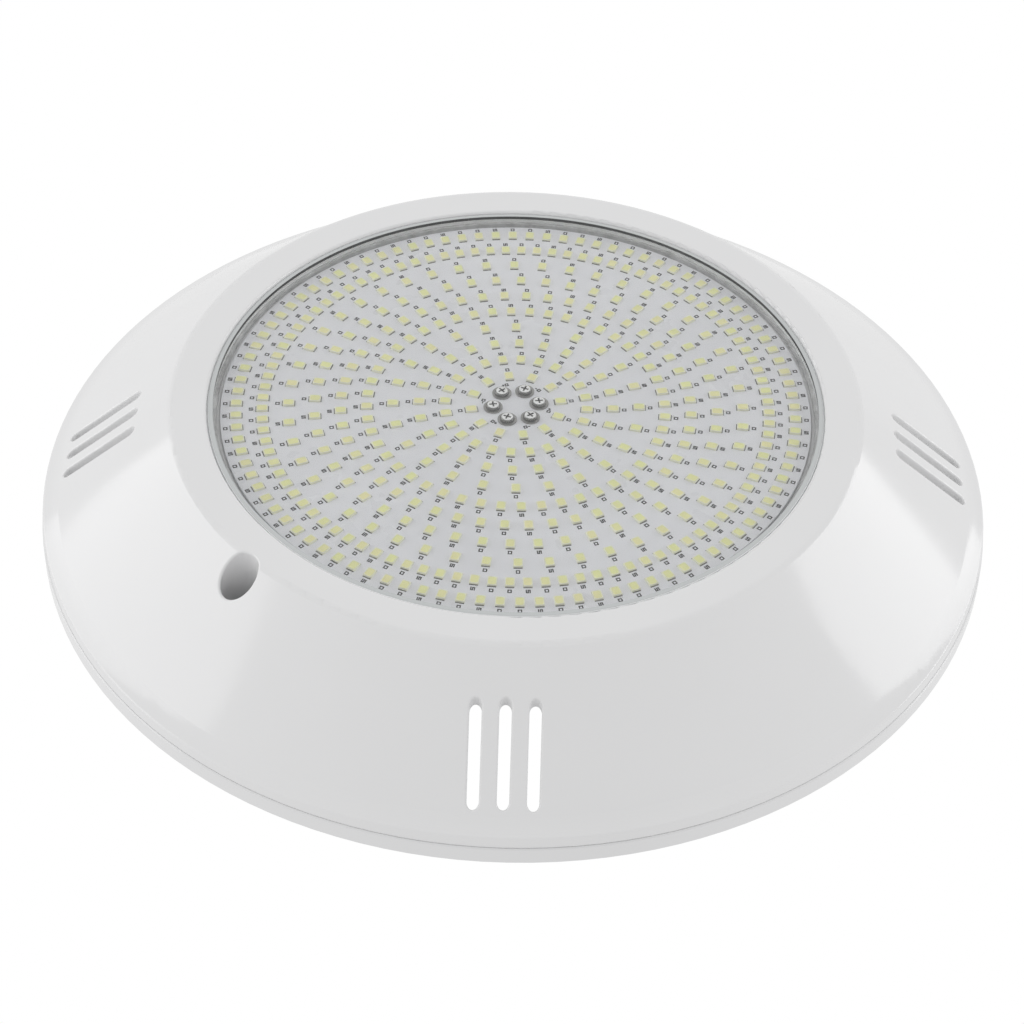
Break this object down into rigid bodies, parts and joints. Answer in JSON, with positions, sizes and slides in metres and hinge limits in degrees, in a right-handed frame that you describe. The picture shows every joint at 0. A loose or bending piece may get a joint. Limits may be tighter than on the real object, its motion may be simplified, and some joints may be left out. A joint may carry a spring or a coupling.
{
  "type": "underwater pool light",
  "caption": "Round surface-mounted underwater pool light with a cone-shaped slotted shroud, a clear lens over a dense LED board, and a wall bracket.",
  "frame": {"origin": "centre of the wall bracket's back face, on the wall plane and on the lamp's optical axis", "axes": "+Z along the optical axis, out of the wall; -X and -Y towards the lock screw's hole, which is at 225 degrees"},
  "size_m": [0.29, 0.29, 0.0442],
  "materials": {
    "shroud_abs": "glossy white moulded ABS",
    "ring_abs": "glossy white moulded ABS",
    "body_abs": "white moulded ABS, fine moulded texture",
    "bracket_abs": "white moulded ABS, fine moulded texture",
    "clear_lens": "clear moulded polycarbonate",
    "gasket_silicone": "grey silicone rubber",
    "black_rubber": "black rubber",
    "board_mask": "white solder mask on an aluminium-core board",
    "led_package": "cream package with a yellow phosphor window",
    "stainless": "stainless steel",
    "washer_steel": "plain steel",
    "screw_steel": "nickel-plated steel",
    "brass": "machined brass",
    "driver_laminate": "green glass-fibre laminate",
    "black_epoxy": "moulded black epoxy",
    "capacitor_sleeve": "shrunk plastic sleeve",
    "ferrite": "sintered ferrite",
    "copper_wire": "enamelled copper wire",
    "varistor_coat": "blue epoxy coating",
    "terminal_green": "green moulded nylon",
    "gland_nylon": "white nylon",
    "washer_nylon": "natural nylon"
  },
  "bodies": {
    "bracket": {"wall_bracket": "bracket_abs", "lock_insert": "brass"},
    "lamp": {"front_shroud": "shroud_abs", "rear_flange_ring": "ring_abs", "flange_screws": "stainless", "lens": "clear_lens", "lens_gasket": "gasket_silicone", "lamp_body": "body_abs", "body_screws": "stainless", "mount_grommets": "black_rubber", "led_board": "board_mask", "led_ring_01": "led_package", "led_ring_02": "led_package", "led_ring_03": "led_package", "led_ring_04": "led_package", "led_ring_05": "led_package", "led_ring_06": "led_package", "led_ring_07": "led_package", "led_ring_08": "led_package", "led_ring_09": "led_package", "led_ring_10": "led_package", "terminal_washers": "washer_steel", "terminal_screws": "screw_steel", "terminal_pillars": "brass", "driver_board": "driver_laminate", "driver_screws": "stainless", "bridge_rectifier": "black_epoxy", "filter_capacitors": "capacitor_sleeve", "choke_core": "ferrite", "choke_winding": "copper_wire", "driver_chip": "black_epoxy", "switch_transistors": "black_epoxy", "surge_varistor": "varistor_coat", "supply_terminal_block": "terminal_green", "gland_body": "gland_nylon", "gland_sealing_ring": "black_rubber", "gland_insert": "black_rubber", "gland_cap_nut": "gland_nylon", "gland_lock_nut": "gland_nylon"},
    "lock_washer": {"lock_washer": "washer_nylon"},
    "lock_screw": {"lock_screw": "stainless"}
  },
  "joints": [
    {"name": "lamp_lift", "type": "slide", "parent": "bracket", "child": "lamp", "axis": [0, 0, 1], "range_m": [0, 0.06]},
    {"name": "lock_screw_advance", "type": "slide", "parent": "lamp", "child": "lock_washer", "axis": [0, 0, 1], "range_m": [0, 0.0084]},
    {"name": "lock_screw_turn", "type": "hinge", "parent": "lock_washer", "child": "lock_screw", "pos_m": [-0.07623, -0.07623, 0.015], "axis": [0, 0, 1], "range_deg": [0, 4320]}
  ],
  "couplings": [
    {"joint": "lock_screw_turn", "follows": "lock_screw_advance", "rad_per_m": 8975.9}
  ]
}
